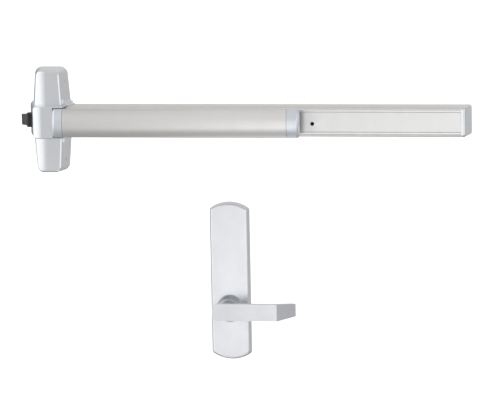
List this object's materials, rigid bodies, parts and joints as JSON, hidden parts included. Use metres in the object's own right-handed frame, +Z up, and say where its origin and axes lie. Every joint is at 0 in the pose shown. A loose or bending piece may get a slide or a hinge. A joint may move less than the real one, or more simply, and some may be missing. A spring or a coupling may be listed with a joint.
{
  "type": "panic exit bar",
  "caption": "Rim exit device: a push pad in a long bar pulls back the latch in its end case, with the outside lever trim that goes on the door's other face.",
  "frame": {"origin": "on the door face, at the middle of the centre case's back", "axes": "+X along the bar, from the latch end to the end cap; +Y into the door; +Z up"},
  "size_m": [0.8806, 0.1351, 0.5705],
  "materials": {
    "satin_chrome": "satin chrome plate on zinc castings",
    "brushed_aluminium": "anodised, fine grain along the bar",
    "plain_aluminium": "mill finish",
    "latch_steel": "blackened sintered steel",
    "zinc_plated_steel": "zinc plated",
    "bright_steel": "ground pins and screws",
    "spring_steel": "drawn spring wire",
    "nylon": "natural nylon",
    "damper_black": "moulded black"
  },
  "bodies": {
    "frame": {"centre_case_cover": "satin_chrome", "case_side_screws": "bright_steel", "centre_base_plate": "zinc_plated_steel", "latch_guide": "zinc_plated_steel", "latch_guide_rivets": "bright_steel", "latch_spring": "spring_steel", "dead_latch_spring": "spring_steel", "latch_spring_stop": "zinc_plated_steel", "damper_body": "damper_black", "damper_clips": "zinc_plated_steel", "mechanism_case": "brushed_aluminium", "cover_plate": "brushed_aluminium", "dogging_bracket": "zinc_plated_steel", "dogging_friction_ring": "nylon", "crank_bracket_left": "zinc_plated_steel", "crank_bracket_right": "zinc_plated_steel", "crank_pivot_pin_left": "bright_steel", "crank_pivot_pin_right": "bright_steel", "return_spring_seats": "zinc_plated_steel", "return_spring_left": "spring_steel", "return_spring_right": "spring_steel", "pad_guide_liners": "nylon", "end_cap": "satin_chrome", "end_bracket": "zinc_plated_steel", "end_cap_screw": "bright_steel", "rail_rivets": "bright_steel", "trim_plate": "satin_chrome", "trim_mounting_posts": "zinc_plated_steel", "back_plate_screws": "bright_steel", "back_plate_bosses": "zinc_plated_steel", "trim_back_plate": "zinc_plated_steel", "lever_collar": "satin_chrome", "lever_bushing": "nylon", "lever_return_spring": "spring_steel", "lift_slide_guides": "zinc_plated_steel"},
    "pad": {"push_pad": "brushed_aluminium", "pad_carrier": "plain_aluminium", "pad_end_cap_left": "satin_chrome", "pad_end_cap_right": "satin_chrome", "pad_fork_left": "zinc_plated_steel", "pad_fork_right": "zinc_plated_steel", "fork_screws": "bright_steel"},
    "link": {"link_bar": "zinc_plated_steel", "dogging_lug": "zinc_plated_steel", "latch_link_pin": "bright_steel", "damper_rod": "bright_steel"},
    "latch": {"latch_bolt": "latch_steel"},
    "dead_latch": {"dead_latch": "latch_steel"},
    "crank_left": {"bell_crank_left": "zinc_plated_steel", "crank_pins_left": "bright_steel"},
    "crank_right": {"bell_crank_right": "zinc_plated_steel", "crank_pins_right": "bright_steel"},
    "dogging": {"dogging_screw": "bright_steel"},
    "lever": {"lever": "satin_chrome", "lever_set_screw": "bright_steel", "spindle": "bright_steel", "lift_cam": "zinc_plated_steel", "spindle_clip": "bright_steel"},
    "lift": {"lift_slide": "zinc_plated_steel", "lift_finger": "bright_steel"}
  },
  "joints": [
    {"name": "pad_push", "type": "slide", "parent": "frame", "child": "pad", "axis": [0, 1, 0], "range_m": [0, 0.019], "stiffness_N_per_m": 1500, "springref_m": -0.015, "deforming": ["return_spring_left", "return_spring_right"]},
    {"name": "link_slide", "type": "slide", "parent": "frame", "child": "link", "axis": [1, 0, 0], "range_m": [0, 0.019]},
    {"name": "latch_slide", "type": "slide", "parent": "frame", "child": "latch", "axis": [1, 0, 0], "range_m": [0, 0.019], "deforming": ["latch_spring"]},
    {"name": "dead_latch_slide", "type": "slide", "parent": "frame", "child": "dead_latch", "axis": [1, 0, 0], "range_m": [0, 0.004], "stiffness_N_per_m": 300, "springref_m": -0.008, "deforming": ["dead_latch_spring"]},
    {"name": "crank_left_turn", "type": "hinge", "parent": "frame", "child": "crank_left", "pos_m": [0.13, -0.049, 0], "axis": [0, 0, -1], "range_deg": [0, 28.25]},
    {"name": "crank_right_turn", "type": "hinge", "parent": "frame", "child": "crank_right", "pos_m": [0.43, -0.049, 0], "axis": [0, 0, -1], "range_deg": [0, 28.25]},
    {"name": "dogging_turn", "type": "hinge", "parent": "frame", "child": "dogging", "pos_m": [0.525, -0.03, -0.0035], "axis": [0, 1, 0], "range_deg": [0, 90]},
    {"name": "lever_turn", "type": "hinge", "parent": "frame", "child": "lever", "pos_m": [0.349, -0.03, -0.368], "axis": [0, 1, 0], "range_deg": [0, 60], "stiffness_Nm_per_rad": 1.2, "springref_deg": -45.84, "deforming": ["lever_return_spring"]},
    {"name": "lift_slide_up", "type": "slide", "parent": "frame", "child": "lift", "axis": [0, 0, 1], "range_m": [0, 0.01205]}
  ],
  "couplings": [
    {"joint": "link_slide", "follows": "pad_push", "ratio": 1},
    {"joint": "latch_slide", "follows": "pad_push", "ratio": 1},
    {"joint": "crank_left_turn", "follows": "pad_push", "rad_per_m": 25.902},
    {"joint": "crank_right_turn", "follows": "pad_push", "rad_per_m": 25.902},
    {"joint": "lift_slide_up", "follows": "lever_turn", "m_per_rad": 0.011459}
  ]
}
